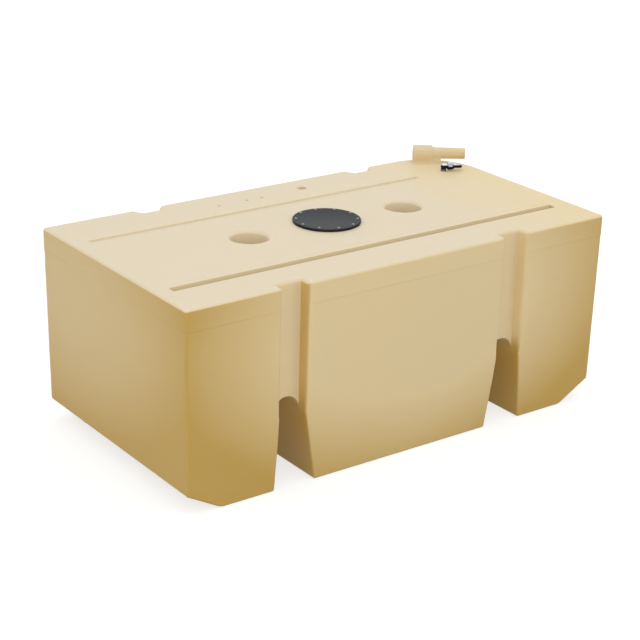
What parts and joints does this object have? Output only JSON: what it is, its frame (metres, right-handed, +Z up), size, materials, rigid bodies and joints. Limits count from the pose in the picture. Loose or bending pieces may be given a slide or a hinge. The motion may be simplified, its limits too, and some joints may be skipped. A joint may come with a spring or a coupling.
{
  "type": "fuel storage tank",
  "caption": "Oblong moulded plastic fuel tank with strap channels, arched tunnels below, wells and grooves in the top, an inspection plate, a filler and a vent.",
  "frame": {"origin": "middle of the underside", "axes": "+Z up, +X along the tank towards the filler, -Y towards the front"},
  "size_m": [1.4388, 0.755, 0.634],
  "materials": {
    "tank_polyethylene": "natural polyethylene, rotationally moulded",
    "black_polyethylene": "moulded black polyethylene, satin",
    "gasket_rubber": "nitrile rubber sheet",
    "nickel_plate": "bright nickel plate on brass"
  },
  "bodies": {
    "root": {"roof_panel": "tank_polyethylene", "front_groove": "tank_polyethylene", "back_groove": "tank_polyethylene", "left_well": "tank_polyethylene", "right_well": "tank_polyethylene", "left_end_wall": "tank_polyethylene", "right_end_wall": "tank_polyethylene", "rounded_corner_wall": "tank_polyethylene", "front_left_wall": "tank_polyethylene", "front_middle_wall": "tank_polyethylene", "front_right_wall": "tank_polyethylene", "back_left_wall": "tank_polyethylene", "back_middle_wall": "tank_polyethylene", "back_right_wall": "tank_polyethylene", "front_left_channel": "tank_polyethylene", "front_right_channel": "tank_polyethylene", "back_left_channel": "tank_polyethylene", "back_right_channel": "tank_polyethylene", "left_tunnel": "tank_polyethylene", "right_tunnel": "tank_polyethylene", "left_slope": "tank_polyethylene", "right_slope": "tank_polyethylene", "left_floor": "tank_polyethylene", "middle_floor": "tank_polyethylene", "right_floor": "tank_polyethylene", "filler_collar": "tank_polyethylene", "filler_pipe": "tank_polyethylene", "filler_web": "tank_polyethylene", "fitting_insert": "tank_polyethylene", "inspection_plate": "black_polyethylene", "plate_gasket": "gasket_rubber", "vent_elbow": "nickel_plate", "vent_nut": "nickel_plate", "vent_hose_tail": "nickel_plate"}
  },
  "joints": []
}
